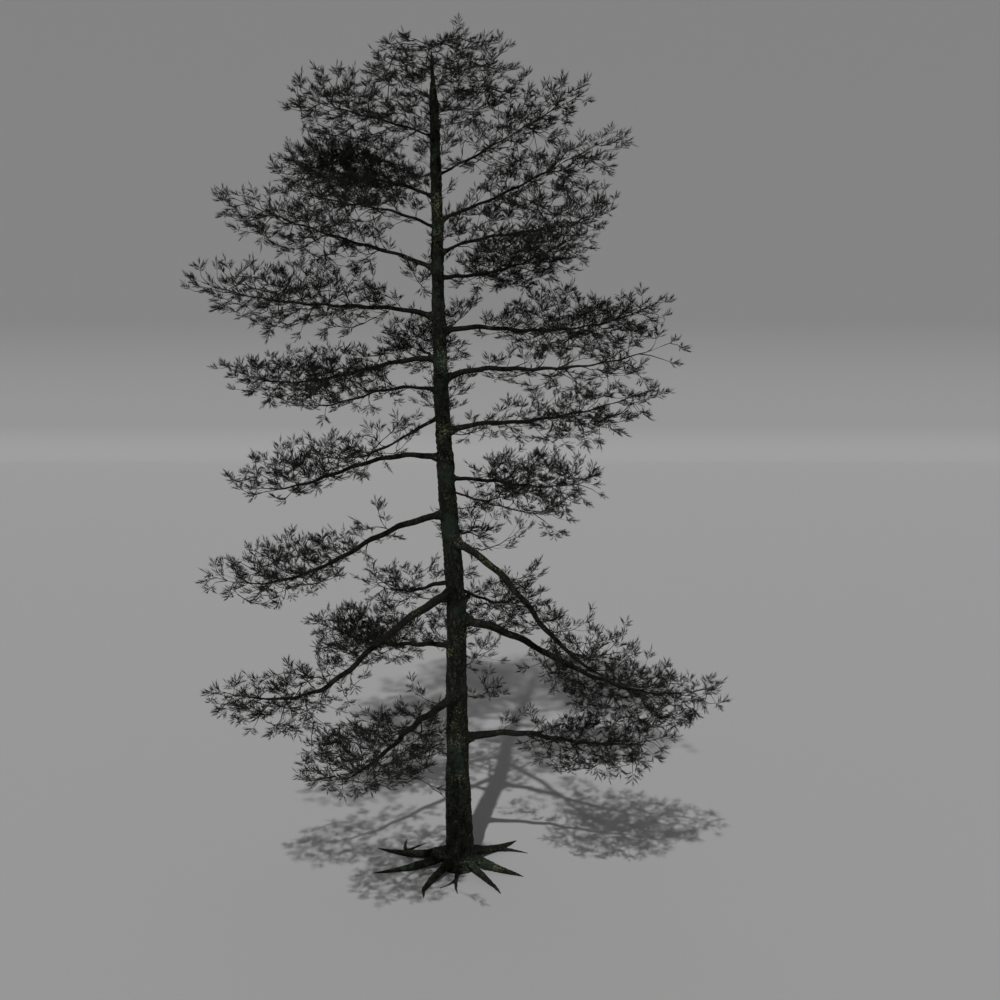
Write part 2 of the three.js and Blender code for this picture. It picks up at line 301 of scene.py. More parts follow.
# %% Read the trunk's axis and the boughs' lines
def node_points(node):
    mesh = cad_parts[node].data
    points = np.empty(len(mesh.vertices) * 3, np.float32)
    mesh.vertices.foreach_get("co", points)
    return points.reshape(-1, 3).astype(float)


trunk_points = node_points("trunk")
ABOVE_ROOTS = 1.0
stem_heights = sorted({round(z, 3) for z in trunk_points[trunk_points[:, 2] > ABOVE_ROOTS, 2]})
stem_rings = [trunk_points[abs(trunk_points[:, 2] - z) < 0.002] for z in stem_heights]
stem_leans = [ring[:, 0].mean() for ring in stem_rings]
stem_radii = [(np.ptp(ring[:, 0]) + 1e-3) / 2 for ring in stem_rings]


def stem_at(height):
    """The trunk's centre and radius at a height."""
    lean = float(np.interp(height, [0, *stem_heights], [0, *stem_leans]))
    return Vector((lean, 0, height)), float(np.interp(height, stem_heights, stem_radii))


TIP_LIFT = math.tan(math.radians(24))
TIP_INSET, TIP_DROP = 0.16, 0.03  # the limb's tip lies this far inside and below the mass's far tip
MIDDLE_BAND = 0.2  # the middle of a bough reaches this share of its length to each side
END_BAND = 0.08
BASE_GAIN = 0.9  # the taper past the middle, carried on to the trunk
TAPER_POWER = 1.15
TIP_RADIUS = 0.004


class Limb:
    """The line of one bough: height as a function of the distance out from the trunk's axis."""

    def __init__(self, name):
        self.name = name
        points = node_points("bough_" + name)
        mass = node_points("mass_" + name)
        base_height = points[:, 2][np.argmin(np.hypot(points[:, 0], points[:, 1]))]
        self.hub, _ = stem_at(base_height)
        out = points[:, :2].mean(0) - np.array(self.hub[:2])
        self.heading = Vector((*(out / np.linalg.norm(out)), 0))
        self.side = UP.cross(self.heading)
        reach = (points - np.array(self.hub)) @ np.array(self.heading)
        self.curve = np.polyfit(reach, points[:, 2], 2)
        self.entry = reach.max()
        mass_reach = (mass - np.array(self.hub)) @ np.array(self.heading)
        self.tip = mass_reach.max() - TIP_INSET
        self.tip_height = mass[mass_reach.argmax(), 2] - TIP_DROP
        self.mass_start = mass_reach.min()
        aside = (points - np.array(self.hub)) @ np.array(self.side)
        off_axis = np.hypot(points[:, 2] - np.polyval(self.curve, reach), aside)
        middle = abs(reach - 0.5 * self.entry) < MIDDLE_BAND * self.entry
        self.radius_entry = float(off_axis[reach > self.entry - END_BAND].mean())
        radius_middle = float(off_axis[middle].mean())
        self.radius_base = (1 + BASE_GAIN) * radius_middle - BASE_GAIN * self.radius_entry

    def height(self, reach):
        """The fitted curve along the bough, then a smooth curve to the tip that lifts at its end."""
        if reach <= self.entry:
            return float(np.polyval(self.curve, reach))
        span = self.tip - self.entry
        t = (reach - self.entry) / span
        start_slope = float(np.polyval(np.polyder(self.curve), self.entry)) * span
        low = float(np.polyval(self.curve, self.entry))
        return (
            (2 * t**3 - 3 * t**2 + 1) * low
            + (t**3 - 2 * t**2 + t) * start_slope
            + (3 * t**2 - 2 * t**3) * self.tip_height
            + (t**3 - t**2) * TIP_LIFT * span
        )

    def point(self, reach):
        spot = self.hub + self.heading * reach
        spot.z = self.height(reach)
        return spot

    def radius(self, reach):
        """Straight taper to the mass, then down to a twig's thickness at the tip."""
        if reach < self.entry:
            return float(np.interp(reach, [0, self.entry], [self.radius_base, self.radius_entry]))
        share = (reach - self.entry) / (self.tip - self.entry)
        return self.radius_entry * (1 - share) ** TAPER_POWER + TIP_RADIUS


limbs = {name: Limb(name) for name in BOUGHS}
for limb in limbs.values():
    print(f"{limb.name:9s} out {limb.tip:.2f} m, {2000 * limb.radius_base:.0f} mm thick")


# %% [markdown]
# ## Trunk and surface roots
#
# The trunk, its claw-like roots and the swellings under the boughs are one skin of bark. It
# starts from a copy of the trunk's solid, with a short cone added where each bough leaves. A
# voxel remesh melts them into one even net of faces, and smoothing rounds the joins. Displace
# modifiers then push the skin about: slow lumps, upright plates with cracks, and fine grain.

# %% Helpers for working by hand
def activate(piece):
    bpy.ops.object.select_all(action="DESELECT")
    piece.select_set(True)
    bpy.context.view_layer.objects.active = piece


def modify(piece, kind, **settings):
    """Adds a modifier, sets it up and applies it."""
    activate(piece)
    modifier = piece.modifiers.new(kind.lower(), kind)
    for name, value in settings.items():
        setattr(modifier, name, value)
    bpy.ops.object.modifier_apply(modifier=modifier.name)


def coordinates(mesh):
    points = np.empty(len(mesh.vertices) * 3, np.float32)
    mesh.vertices.foreach_get("co", points)
    return points.reshape(-1, 3)


def relief_texture(name, kind, size, **settings):
    texture = bpy.data.textures.new(name, kind)
    texture.noise_scale = size
    for setting, value in settings.items():
        setattr(texture, setting, value)
    return texture


LUMP_SIZE, PLATE_SIZE, GRAIN_SIZE = 0.30, 0.055, 0.022
lump_texture = relief_texture("lumps", "CLOUDS", LUMP_SIZE, noise_depth=1)
plate_texture = relief_texture("plates", "VORONOI", PLATE_SIZE, weight_1=-1.0, weight_2=1.0,
                               noise_intensity=1.6)
grain_texture = relief_texture("grain", "CLOUDS", GRAIN_SIZE, noise_depth=2)
grid = bpy.data.objects.new("bark_grid", None)
grid.scale = (1, 1, PLATE_STRETCH)
bpy.context.scene.collection.objects.link(grid)
bpy.context.view_layer.update()


def carve_bark(piece, lumps, plates, grain, group=""):
    """Pushes the skin out and in, and keeps the sum as the attribute relief, from -1 to 1."""
    modify(piece, "DISPLACE", texture=lump_texture, strength=lumps, mid_level=0.5,
           texture_coords="LOCAL", vertex_group=group)
    before = coordinates(piece.data)
    normals = np.empty(len(before) * 3, np.float32)
    piece.data.vertices.foreach_get("normal", normals)
    modify(piece, "DISPLACE", texture=plate_texture, strength=plates, mid_level=0.35,
           texture_coords="OBJECT", texture_coords_object=grid, vertex_group=group)
    modify(piece, "DISPLACE", texture=grain_texture, strength=grain, mid_level=0.5,
           texture_coords="LOCAL", vertex_group=group)
    moved = ((coordinates(piece.data) - before) * normals.reshape(-1, 3)).sum(1)
    relief = piece.data.attributes.new("relief", "FLOAT", "POINT")
    relief.data.foreach_set("value", np.clip(moved / (0.5 * plates), -1, 1).astype(np.float32))


def dress(piece, *materials):
    """Gives a finished piece its materials and puts it on the tree."""
    piece.data.materials.clear()
    for material in materials:
        piece.data.materials.append(material)
    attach(piece, BODY)


print("relief sizes in metres:", LUMP_SIZE, PLATE_SIZE, GRAIN_SIZE)

# %% Trunk
VOXEL = 0.0105
TRUNK_TRIANGLES = 185_000
MERGE = 1e-5  # vertices closer than this become one
COLLAR_INSIDE = 0.3  # where a collar starts, as a share of the trunk's radius
COLLAR_REACH = 0.05  # how far it comes out of the trunk, besides its share of the bough's radius
COLLAR_REACH_SHARE = 0.9
COLLAR_THICK, COLLAR_THIN = 1.9, 0.92  # its radii against the bough's
ROUGH_START, ROUGH_FALL, ROUGH_LEAST = 1.25, 0.85, 0.2
CUT_SNAP = 0.006  # skin lower than this is pressed flat on the ground


def trunk_copy():
    """A copy of the trunk's solid with its corners joined."""
    copy = bpy.data.objects.new("trunk_bark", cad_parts["trunk"].data.copy())
    bpy.context.scene.collection.objects.link(copy)
    activate(copy)
    bpy.ops.object.mode_set(mode="EDIT")
    bpy.ops.mesh.select_all(action="SELECT")
    bpy.ops.mesh.remove_doubles(threshold=MERGE)
    bpy.ops.object.mode_set(mode="OBJECT")
    return copy


def add_collar(limb):
    """A short cone round a bough's root, thinner than the bough at its outer end."""
    _, stem = stem_at(limb.hub.z)
    inner = COLLAR_INSIDE * stem
    outer = stem + COLLAR_REACH_SHARE * limb.radius_base + COLLAR_REACH
    start, end = limb.point(inner), limb.point(outer)
    bpy.ops.mesh.primitive_cone_add(
        vertices=24,
        radius1=COLLAR_THICK * limb.radius_base,
        radius2=COLLAR_THIN * limb.radius(outer),
        depth=(end - start).length,
        location=(start + end) / 2,
        rotation=(end - start).to_track_quat("Z", "Y").to_euler(),
    )
    return bpy.context.object


def keep_largest(piece):
    """Drops crumbs that the remesh has left beside the thin root tips."""
    activate(piece)
    bpy.ops.object.mode_set(mode="EDIT")
    bpy.ops.mesh.select_all(action="SELECT")
    bpy.ops.mesh.separate(type="LOOSE")
    bpy.ops.object.mode_set(mode="OBJECT")
    shells = sorted(bpy.context.selected_objects, key=lambda shell: len(shell.data.vertices))
    for crumb in shells[:-1]:
        bpy.data.objects.remove(crumb)
    shells[-1].name = "trunk_bark"
    return shells[-1]


def roughness_group(piece):
    """Full relief on the stem, and less and less of it out to the thin tips of the roots."""
    group = piece.vertex_groups.new(name="rough")
    out = np.hypot(*coordinates(piece.data)[:, :2].T)
    for vertex, weight in enumerate(np.clip(ROUGH_START - ROUGH_FALL * out, ROUGH_LEAST, 1)):
        group.add([vertex], float(weight), "REPLACE")
    return group.name


collars = [add_collar(limb) for limb in limbs.values()]
trunk = trunk_copy()
for collar in collars:
    collar.select_set(True)
bpy.ops.object.join()
modify(trunk, "REMESH", mode="VOXEL", voxel_size=VOXEL)
trunk = keep_largest(trunk)
modify(trunk, "SMOOTH", factor=0.5, iterations=4)
carve_bark(trunk, lumps=0.035, plates=0.020, grain=0.010, group=roughness_group(trunk))
trunk.vertex_groups.clear()
modify(trunk, "DECIMATE", ratio=min(1.0, TRUNK_TRIANGLES / (2 * len(trunk.data.polygons))))
for vertex in trunk.data.vertices:
    if vertex.co.z <= CUT_SNAP:
        vertex.co.z = 0.0
activate(trunk)
bpy.ops.object.shade_smooth()
dress(trunk, trunk_bark)
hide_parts("trunk")
print("trunk:", len(trunk.data.polygons), "faces")

# %% [markdown]
# ## Boughs
#
# Each bough is a curve with a thickness at every point, turned into a mesh and carved with the
# same bark at a smaller scale. It starts inside the trunk's collar, follows its line with slight
# wanderings, and runs on through the needles to a thin tip.

# %% Boughs
LIMB_STEP = 0.05
LIMB_START = 0.02
LIMB_WANDER = 0.016
WANDER_LENGTH = 0.55
SLOW_SWING, QUICK_SWING = 0.43, 1.3  # the other two swings, against the first one's pace
SWING_SHARE = 0.6


def wander(limb, reach):
    """Small swings to the side and up and down, none at the trunk and at the tip."""
    phase = sum(map(ord, limb.name))
    hold = max(math.sin(math.pi * reach / limb.tip), 0.0) ** 0.5
    turn = 2 * math.pi * reach / WANDER_LENGTH
    sway = math.sin(turn + phase) + SWING_SHARE * math.sin(SLOW_SWING * turn + 2 * phase)
    lift = math.sin(QUICK_SWING * turn + 3 * phase)
    return LIMB_WANDER * hold * (limb.side * sway + UP * lift * SWING_SHARE)


def limb_line(limb):
    """Points along the whole limb from inside the trunk to its tip, with the thickness at each."""
    reaches = np.linspace(LIMB_START, limb.tip, int(limb.tip / LIMB_STEP) + 1)
    return [(limb.point(r) + wander(limb, r), limb.radius(r)) for r in reaches]


def bough_piece(limb):
    """A tube of varying thickness along the limb, closed at both ends."""
    bpy.ops.curve.primitive_nurbs_path_add()
    curve = bpy.context.object
    curve.data.splines.clear()
    line = limb_line(limb)
    spline = curve.data.splines.new("POLY")
    spline.points.add(len(line) - 1)
    for point, (place, radius) in zip(spline.points, line):
        point.co = (*place, 1)
        point.radius = radius
    curve.data.bevel_depth = 1.0
    curve.data.bevel_resolution = 4
    curve.data.use_fill_caps = True
    curve.data.twist_mode = "Z_UP"
    bpy.ops.object.convert(target="MESH")
    piece = bpy.context.object
    piece.name = "limb_" + limb.name
    bpy.ops.object.mode_set(mode="EDIT")
    bpy.ops.mesh.select_all(action="SELECT")
    bpy.ops.mesh.remove_doubles(threshold=MERGE)
    bpy.ops.mesh.normals_make_consistent(inside=False)
    bpy.ops.object.mode_set(mode="OBJECT")
    modify(piece, "SUBSURF", subdivision_type="CATMULL_CLARK", levels=1, render_levels=1)
    return piece


for limb in limbs.values():
    bough = bough_piece(limb)
    carve_bark(bough, lumps=0.012, plates=0.007, grain=0.004)
    bpy.ops.object.shade_smooth()
    dress(bough, bough_bark)
    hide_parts("bough_" + limb.name)
print("last bough:", len(bough.data.polygons), "faces")

# %% [markdown]
# ## How the crown grows
#
# A crown fills the room it has. In each mass a seeded draw sets out goals, evenly spread through
# the mass's solid. Starting with the goals nearest to the bough, each one is joined to the best
# place on what has grown so far by a shoot that leaves forward and bends up, so later shoots
# fork from earlier ones. The outer part of every shoot carries twigs to both sides, and each twig
# ends in a tuft. The mass's solid is the fence: a side twig that would end outside it isn't grown,
# so the outline and the gaps of the crown stay close to those of the design.

# %% The fence
LEADER_START, LEADER_SPACE = 11.2, 0.2
FENCE_INSETS = (0.0, 0.22)  # how far inside twigs stop, as a tuft reaches on past its twig


def by_the_leader(point):
    """Whether a point is in the open space round the trunk's tip."""
    return point.z > LEADER_START and math.dist(point.xy, stem_at(LEADER_START)[0].xy) < LEADER_SPACE


class Fence:
    """A mass's solid, asked whether a point is inside it."""

    def __init__(self, node):
        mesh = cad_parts[node].data
        self.tree = BVHTree.FromPolygons([v.co for v in mesh.vertices], [p.vertices for p in mesh.polygons])
        self.low, self.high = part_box(node)

    def holds(self, point, dice):
        spot, normal, _, _ = self.tree.find_nearest(point)
        return (point - spot).dot(normal) < -dice.uniform(*FENCE_INSETS)

    def goals(self, spacing, dice):
        """Points inside, drawn one by one as far as possible from the earlier ones."""
        drawn = []
        while len(drawn) < GOAL_DRAWS:
            point = Vector([dice.uniform(low, high) for low, high in zip(self.low, self.high)])
            if self.holds(point, dice) and not by_the_leader(point):
                drawn.append(tuple(point))
        drawn = np.array(drawn)
        chosen = [0]
        distance = np.linalg.norm(drawn - drawn[0], axis=1)
        while distance.max() > spacing:
            chosen.append(int(distance.argmax()))
            distance = np.minimum(distance, np.linalg.norm(drawn - drawn[chosen[-1]], axis=1))
        return drawn[chosen]


GOAL_DRAWS = 1800
fences = {name: Fence("mass_" + name) for name in [*BOUGHS, "top"]}
print("fences:", len(fences))

# %% Shoots and twigs
GOAL_SPACING = 0.205
OPENNESS = {  # goals stand this much wider apart in a mass
    "top": 1.18,
    "right_1": 0.92, "right_2": 0.96, "right_3": 0.9, "right_4": 1.75, "right_5": 0.96, "right_6": 1.1,
    "right_7": 1.65, "right_8": 1.02, "right_9": 0.92, "right_10": 1.07, "right_11": 1.2,
    "left_1": 0.9, "left_2": 0.76, "left_3": 1.08, "left_4": 1.08, "left_6": 1.1, "left_7": 1.55,
    "left_10": 1.15, "left_11": 1.15, "left_12": 1.18, "left_13": 0.78, "left_14": 1.07,
}
FORWARD = 0.7  # how straight ahead a goal should lie to be reached from a place
TURN_COST = 1.8  # how much a sharper turn counts as extra length
BOW_AHEAD, BOW_TO_GOAL, BOW_DROOP = 0.7, 0.4, 0.14
LONE_DISTANCE = 0.45  # a goal this far from all that has grown is left out
SHOOT_STEP = 0.09
SHOOT_JITTER = 0.012
BARE_SHARE = 0.3
LEAFY_LENGTH = 0.5
TWIG_SPACING = 0.095
TWIG_LENGTHS = (0.12, 0.26)
TWIG_ANGLES = (26, 50)  # degrees from its shoot
TWIG_TILT = 45
TWIG_PLACES = (0.2, 0.8)  # where in its stretch of the shoot a twig may start
TWIG_LIFT = 0.25


class Growth:
    """All that grows in one mass: shoots and twigs as lines, tufts as places and headings."""

    def __init__(self, name):
        self.name = name
        self.dice = random.Random("pine " + name)
        self.fence = fences[name]
        self.shoots, self.twigs, self.tufts = [], [], []
        self.places, self.headings = [], []  # where a new shoot may start
        self.fenced = True

    def offer(self, points):
        """Lets later shoots start along a line."""
        for place, ahead in zip(points, points[1:]):
            self.places.append(tuple(place))
            self.headings.append(tuple((ahead - place).normalized()))

    def tuft(self, points):
        self.tufts.append((points[-1], (points[-1] - points[-2]).normalized()))

    def twig(self, start, along, side):
        """A short side twig, turned up towards its end, with a tuft, if it ends inside the fence."""
        dice = self.dice
        level = along.cross(UP).normalized() * side
        above = level.cross(along) * side
        tilt = math.radians(dice.uniform(-TWIG_TILT, TWIG_TILT))
        angle = math.radians(dice.uniform(*TWIG_ANGLES))
        outward = level * math.cos(tilt) + above * math.sin(tilt)
        heading = along * math.cos(angle) + outward * math.sin(angle)
        length = dice.uniform(*TWIG_LENGTHS)
        middle = start + heading * length * 0.5
        points = [start, middle, middle + (heading + UP * TWIG_LIFT).normalized() * length * 0.5]
        if not self.fenced or self.fence.holds(points[-1], dice):
            self.twigs.append(points)
            self.tuft(points)

    def shoot(self, goal):
        """One shoot from the best place so far to a goal, and its twigs."""
        dice = self.dice
        away = goal - np.array(self.places)
        length = np.linalg.norm(away, axis=1)
        ahead = (away * np.array(self.headings)).sum(1) / length
        best = (length * (1 + TURN_COST * np.clip(FORWARD - ahead, 0, None))).argmin()
        start, heading, end = Vector(self.places[best]), Vector(self.headings[best]), Vector(goal)
        pull = heading * BOW_AHEAD + (end - start).normalized() * BOW_TO_GOAL - UP * BOW_DROOP
        bow = pull * length[best] * 0.5
        steps = max(3, round(length[best] / SHOOT_STEP))
        points = [start]
        for step in range(1, steps + 1):
            t = step / steps
            jitter = Vector([dice.uniform(-SHOOT_JITTER, SHOOT_JITTER) for _ in range(3)])
            points.append(start + bow * 2 * t * (1 - t) + (end - start) * t * t + jitter)
        self.shoots.append(points)
        self.offer(points)
        self.tuft(points)
        leafy = min(LEAFY_LENGTH, (1 - BARE_SHARE) * length[best]) / length[best]
        count = max(1, round(leafy * length[best] / TWIG_SPACING))
        side = dice.choice((-1, 1))
        for number in range(count):
            t = (1 - leafy * (number + dice.uniform(*TWIG_PLACES)) / count) * steps
            low, high = points[int(t)], points[min(int(t) + 1, steps)]
            along = points[min(int(t) + 1, steps)] - points[min(int(t), steps - 1)]
            self.twig(low.lerp(high, t % 1), along.normalized(), side)
            side = -side

    def fill(self, spacing):
        """Reaches the goals, the ones nearest to the first places first, and leaves out lone ones."""
        goals = self.fence.goals(spacing, self.dice)
        first = np.array(self.places)
        nearness = [np.linalg.norm(first - goal, axis=1).min() for goal in goals]
        for number in np.argsort(nearness):
            if np.linalg.norm(np.array(self.places) - goals[number], axis=1).min() < LONE_DISTANCE:
                self.shoot(goals[number])


def add_strays(growth, limb):
    """A few thin shoots along a bough's bare part, outside the mass, with little on them."""
    dice = growth.dice
    growth.fenced = False
    for out in np.arange(STRAY_START, limb.mass_start, STRAY_SPACING):
        ahead = dice.uniform(*STRAY_AHEAD)
        aside = dice.choice((-1, 1)) * dice.uniform(*STRAY_ASIDE)
        rise = dice.uniform(*STRAY_RISE)
        end = limb.point(out) + limb.heading * ahead + limb.side * aside + UP * rise
        growth.shoot(np.array(end))


STRAY_START, STRAY_SPACING = 0.35, 0.26
STRAY_AHEAD, STRAY_ASIDE, STRAY_RISE = (0.3, 0.6), (0.15, 0.4), (-0.22, 0.34)
FIRST_PLACE, PLACE_STEP = 0.25, 0.06  # along a bough, where shoots may start
growths = {}
for name in BOUGHS:
    growth = Growth(name)
    limb = limbs[name]
    reaches = [*np.arange(FIRST_PLACE, limb.tip, PLACE_STEP), limb.tip]
    line = [limb.point(reach) + wander(limb, reach) for reach in reaches]
    growth.offer(line)
    growth.tuft(line)
    growth.fill(GOAL_SPACING * OPENNESS.get(name, 1.0))
    add_strays(growth, limb)
    growths[name] = growth
print("tufts on the boughs:", sum(len(g.tufts) for g in growths.values()))

# %% [markdown]
# ### The top
#
# Above the last big bough the trunk ends in a spike. There the thin branches start straight from
# the trunk, all round and rising, and make the rounded top of the crown.

# %% The top's branches
GOLDEN_ANGLE_DEG = 137.5  # the turn from one branch or needle to the next
TOP_START = 10.5
TOP_RISE_DEG = 52
TOP_STEP, TOP_END = 0.012, 0.04  # between places on the spike, and from the last one to its tip

top = Growth("top")
trunk_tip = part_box("trunk")[1].z
rise = math.radians(TOP_RISE_DEG)
level = math.cos(rise)
for number, height in enumerate(np.arange(TOP_START, trunk_tip - TOP_END, TOP_STEP)):
    bearing = number * math.radians(GOLDEN_ANGLE_DEG)
    centre, _ = stem_at(height)
    top.places.append(tuple(centre))
    top.headings.append((math.cos(bearing) * level, math.sin(bearing) * level, math.sin(rise)))
top.fill(GOAL_SPACING * OPENNESS["top"])
growths["top"] = top
print("tufts in the top:", len(top.tufts), "all:", sum(len(g.tufts) for g in growths.values()))


# %% [markdown]
# ### Thin limbs on the trunk
#
# Between the big boughs the trunk keeps some thin old limbs. They droop and turn up again, and
# carry a few tufts each. The longest hangs below a bough on the right, halfway up.

# %% Thin limbs
THIN_LIMBS = [  # height, bearing, reach and rise
    (5.75, 8, 1.55, -0.42), (2.72, 340, 0.55, 0.1), (3.1, 60, 0.7, 0.1), (4.75, 290, 0.5, -0.1),
    (5.5, 20, 0.6, 0.05), (6.6, 310, 0.75, 0.1), (7.0, 75, 0.8, 0.2), (6.9, 280, 0.7, 0.15),
    (8.05, 300, 0.7, 0.25), (8.5, 120, 0.8, 0.3), (9.15, 280, 0.7, 0.3), (9.6, 260, 0.7, 0.35),
    (10.1, 100, 0.7, 0.35), (10.3, 285, 0.6, 0.3),
]
THIN_DROOP = 0.3  # how much a thin limb leaves the trunk downwards
FORK_SPACING = 0.22
FORK_ASIDE, FORK_RISE, FORK_PLACES = (-0.4, 0.4), (-0.2, 0.3), (0.45, 1)
inner = Growth("top")
inner.name = "inner"
inner.fenced = False
for height, bearing, reach, rise in THIN_LIMBS:
    turn = math.radians(bearing)
    heading = Vector((math.cos(turn), math.sin(turn), 0))
    start, _ = stem_at(height)
    end = start + heading * reach + UP * rise
    inner.places = [tuple(start)]
    inner.headings = [tuple((heading - UP * THIN_DROOP).normalized())]
    inner.shoot(np.array(end))
    for _ in range(round(reach / FORK_SPACING)):
        aside = heading.cross(UP) * inner.dice.uniform(*FORK_ASIDE)
        swing = aside + UP * inner.dice.uniform(*FORK_RISE)
        place = start.lerp(end, inner.dice.uniform(*FORK_PLACES))
        inner.shoot(np.array(place + swing * min(reach, 1)))
growths["inner"] = inner
print("tufts on thin limbs:", len(inner.tufts))

# %% [markdown]
# ### From lines to meshes
#
# Thousands of twigs are made in one go: all shoots with the same number of points become one
# array, and each point gets a ring of a few vertices round it. A mesh is then filled from the
# arrays, which is far quicker than adding one object for each twig.

# %% Tubes
NEARLY_UPRIGHT = 0.95


def tube_arrays(lines, thick, thin, sides):
    """Vertices and triangles of closed, tapering tubes along lines of equal length."""
    lines = np.array([[tuple(p) for p in line] for line in lines])
    count, length, _ = lines.shape
    along = np.gradient(lines, axis=1)
    along /= np.linalg.norm(along, axis=2, keepdims=True)
    across = np.cross(along, np.where(abs(along[..., 2:]) > NEARLY_UPRIGHT, (1.0, 0, 0), (0, 0, 1.0)))
    across /= np.linalg.norm(across, axis=2, keepdims=True)
    above = np.cross(along, across)
    taper = np.linspace(1, 0, length)[None, :, None, None]
    radius = taper * np.reshape(thick, (-1, 1, 1, 1)) + (1 - taper) * thin
    turn = 2 * np.pi * np.arange(sides) / sides
    ring = across[:, :, None] * np.cos(turn)[:, None] + above[:, :, None] * np.sin(turn)[:, None]
    vertices = (lines[:, :, None] + radius * ring).reshape(-1, 3)
    faces = []
    for step in range(length - 1):
        for k in range(sides):
            a, b = step * sides + k, step * sides + (k + 1) % sides
            faces += [(a, b, b + sides), (a, b + sides, a + sides)]
    last = (length - 1) * sides
    for k in range(1, sides - 1):
        faces += [(0, k + 1, k), (last, last + k, last + k + 1)]
    faces = np.array(faces)[None] + (np.arange(count) * length * sides)[:, None, None]
    return vertices, faces.reshape(-1, 3)


def join_arrays(parts):
    """Several pairs of vertices and faces as one pair."""
    vertices, faces, shift = [], [], 0
    for part_vertices, part_faces in parts:
        vertices.append(part_vertices)
        faces.append(part_faces + shift)
        shift += len(part_vertices)
    return np.concatenate(vertices), np.concatenate(faces)


def mesh_piece(name, vertices, faces):
    """An object with a mesh of triangles, filled from arrays."""
    mesh = bpy.data.meshes.new(name)
    mesh.vertices.add(len(vertices))
    mesh.vertices.foreach_set("co", vertices.astype(np.float32).ravel())
    mesh.loops.add(faces.size)
    mesh.loops.foreach_set("vertex_index", faces.astype(np.int32).ravel())
    mesh.polygons.add(len(faces))
    mesh.polygons.foreach_set("loop_start", np.arange(0, faces.size, 3, dtype=np.int32))
    mesh.update(calc_edges=True)
    piece = bpy.data.objects.new(name, mesh)
    bpy.context.scene.collection.objects.link(piece)
    return piece


SHOOT_SIDES, TWIG_SIDES = 4, 3
SHOOT_THIN, TWIG_THICK, TWIG_THIN = 0.0028, 0.0034, 0.0018
SHOOT_THICK, SHOOT_THICK_PER_METRE = 0.0045, 0.0075


def by_length(lines):
    groups = {}
    for line in lines:
        groups.setdefault(len(line), []).append(line)
    return groups.values()


def line_length(line):
    return sum((b - a).length for a, b in zip(line, line[1:]))


def twig_tubes(growth):
    parts = []
    for group in by_length(growth.shoots):
        thick = [SHOOT_THICK + SHOOT_THICK_PER_METRE * line_length(line) for line in group]
        parts.append(tube_arrays(group, thick, SHOOT_THIN, SHOOT_SIDES))
    for group in by_length(growth.twigs):
        parts.append(tube_arrays(group, [TWIG_THICK] * len(group), TWIG_THIN, TWIG_SIDES))
    return parts


print("one shoot has", SHOOT_SIDES, "sides, one twig", TWIG_SIDES)

# %% [markdown]
# ## Needles
#
# A tuft is a twig's end with seven small side shoots, and each of them ends in a narrow brush of
# needles that lean forward and bend up, like a small flame. One needle is a blade of two faces
# that meet at its bend. A real needle is about 1.5 mm wide. These are wider and fewer, so that
# the brush is as full as a real one. Eight tufts are modelled, and every tuft on the tree is a
# turned copy of one.

# %% One tuft
NEEDLE_LENGTHS = (0.055, 0.08)
NEEDLE_WIDTH = 0.0076
NEEDLE_BEND = 0.22
BEND_RANGE = (0.4, 1.4)
SHOULDER = 0.3  # where a blade is widest, as a share of its length
NEEDLES_IN_BRUSH = 7
BRUSH_OPENING = (27, 6)  # degrees, at the foot of a brush and at its end
BRUSH_LENGTHS = (0.05, 0.08)
SPINE = 0.085
SIDE_BRUSHES = 7
BRUSH_FOOT = 0.1  # the share of a brush's stalk that is bare
BRUSH_TURN = 0.4
SPINE_ASIDE, SPINE_RISE = (-0.15, 0.15), (0, 0.25)
SIDE_ANGLES = (26, 72)  # degrees from the spine
SIDE_RISE = (-0.4, 0.7)
STALK_RADIUS = 0.0024
TUFT_KINDS = 8
TUFT_SIZES = (0.85, 1.25)
TUFT_ROLL = 0.22
COLOUR_SHARES = (0.45, 0.37, 0.18)
CORNERS = 4  # of a blade and of a stalk alike
BLADE_FACES = np.array([(0, 1, 2), (2, 1, 3)])
STALK_FACES = np.array([(0, 2, 1), (0, 1, 3), (1, 2, 3), (2, 0, 3)])


def needle_blade(base, heading, length, dice):
    """A blade's four corners: its foot, its two shoulders, and its tip, bent up."""
    flat = heading.cross(Vector([dice.uniform(-1, 1) for _ in range(3)])).normalized() * NEEDLE_WIDTH / 2
    middle = base + heading * length * SHOULDER
    tip = base + heading * length + UP * length * NEEDLE_BEND * dice.uniform(*BEND_RANGE)
    return [base, middle + flat, middle - flat, tip]


def stalk(start, end):
    """A thin three-sided spike from start to end."""
    across = (end - start).orthogonal().normalized() * STALK_RADIUS
    turned = Matrix.Rotation(math.radians(120), 3, (end - start).normalized())
    return [start + across, start + turned @ across, start + turned @ turned @ across, end]


def brush(start, heading, stem, dice):
    """One small shoot: its stalk and its needles."""
    heading = heading.normalized()
    end = start + heading * stem
    across = heading.orthogonal().normalized()
    above = heading.cross(across)
    blades = []
    for number in range(NEEDLES_IN_BRUSH):
        share = number / (NEEDLES_IN_BRUSH - 1)
        lean = math.radians(BRUSH_OPENING[0] * (1 - share) + BRUSH_OPENING[1] * share)
        turn = number * math.radians(GOLDEN_ANGLE_DEG) + dice.uniform(-BRUSH_TURN, BRUSH_TURN)
        around = across * math.cos(turn) + above * math.sin(turn)
        foot = start.lerp(end, BRUSH_FOOT + (1 - BRUSH_FOOT) * share)
        pointing = heading * math.cos(lean) + around * math.sin(lean)
        blades += needle_blade(foot, pointing, dice.uniform(*NEEDLE_LENGTHS), dice)
    return stalk(start, end), blades


